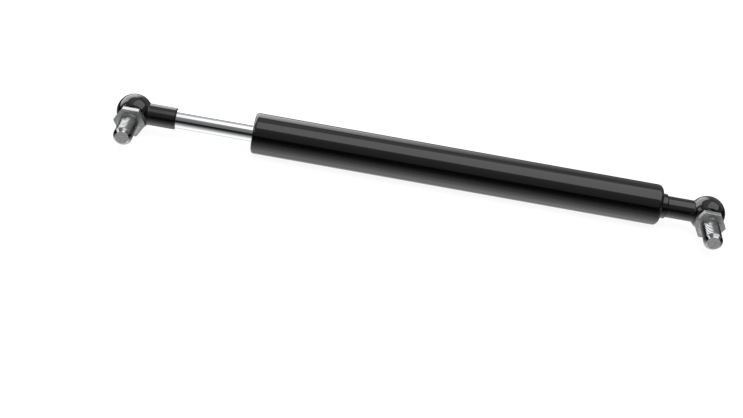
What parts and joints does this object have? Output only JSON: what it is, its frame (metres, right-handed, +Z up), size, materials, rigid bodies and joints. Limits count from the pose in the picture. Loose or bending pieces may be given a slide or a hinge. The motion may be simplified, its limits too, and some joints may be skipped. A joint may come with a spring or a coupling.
{
  "type": "gas strut",
  "caption": "Compression gas strut with a chromed rod sliding in a black pressure tube, and a swivelling ball joint with a threaded stud at each end.",
  "frame": {"origin": "centre of the ball of the tube end ball joint", "axes": "+X along the strut from the rod end towards the tube end, -Y out of both socket mouths along the studs, +Z up; the tube lies on the surface z = -11 mm"},
  "size_m": [0.3302, 0.042, 0.022],
  "materials": {
    "painted_tube": "gloss black paint on drawn steel tube",
    "black_polymer": "moulded, glossy",
    "hard_chrome": "ground and hard chrome plated",
    "zinc_plated_steel": "turned, bright zinc plated",
    "spring_steel": "drawn wire and strip",
    "cast_zinc": "die cast",
    "sintered_bronze": "rolled bush with a dull running face",
    "seal_rubber": "moulded nitrile rubber",
    "ring_polymer": "filled low-friction polymer"
  },
  "bodies": {
    "tube": {"pressure_tube": "painted_tube", "end_plug": "painted_tube", "end_plug_seal": "seal_rubber", "tube_end_socket": "black_polymer", "wiper_ring": "seal_rubber", "rod_guide": "cast_zinc", "guide_bush": "sintered_bronze", "rod_seal": "seal_rubber", "support_ring": "zinc_plated_steel", "retaining_ring": "spring_steel"},
    "piston_ring": {"piston_ring": "ring_polymer"},
    "rod": {"piston_rod": "hard_chrome", "stop_disc": "zinc_plated_steel", "piston": "cast_zinc", "valve_disc": "spring_steel", "rod_end_socket": "black_polymer"},
    "tube_end_clip": {"tube_end_clip": "spring_steel"},
    "tube_end_stud": {"tube_end_ball_stud": "zinc_plated_steel"},
    "rod_end_clip": {"rod_end_clip": "spring_steel"},
    "rod_end_stud": {"rod_end_ball_stud": "zinc_plated_steel"}
  },
  "joints": [
    {"name": "rod_slide", "type": "slide", "parent": "tube", "child": "piston_ring", "axis": [-1, 0, 0], "range_m": [-0.04, 0.12]},
    {"name": "rod_spin", "type": "hinge", "parent": "piston_ring", "child": "rod", "pos_m": [-0.096, 0, 0], "axis": [-1, 0, 0], "continuous": true},
    {"name": "tube_end_swivel", "type": "hinge", "parent": "tube", "child": "tube_end_clip", "pos_m": [0, 0, 0], "axis": [0, -1, 0], "continuous": true},
    {"name": "tube_end_tilt", "type": "hinge", "parent": "tube_end_clip", "child": "tube_end_stud", "pos_m": [0, 0, 0], "axis": [0, 0, 1], "range_deg": [-18, 18]},
    {"name": "rod_end_swivel", "type": "hinge", "parent": "rod", "child": "rod_end_clip", "pos_m": [-0.311, 0, 0], "axis": [0, -1, 0], "continuous": true},
    {"name": "rod_end_tilt", "type": "hinge", "parent": "rod_end_clip", "child": "rod_end_stud", "pos_m": [-0.311, 0, 0], "axis": [0, 0, 1], "range_deg": [-18, 18]}
  ]
}
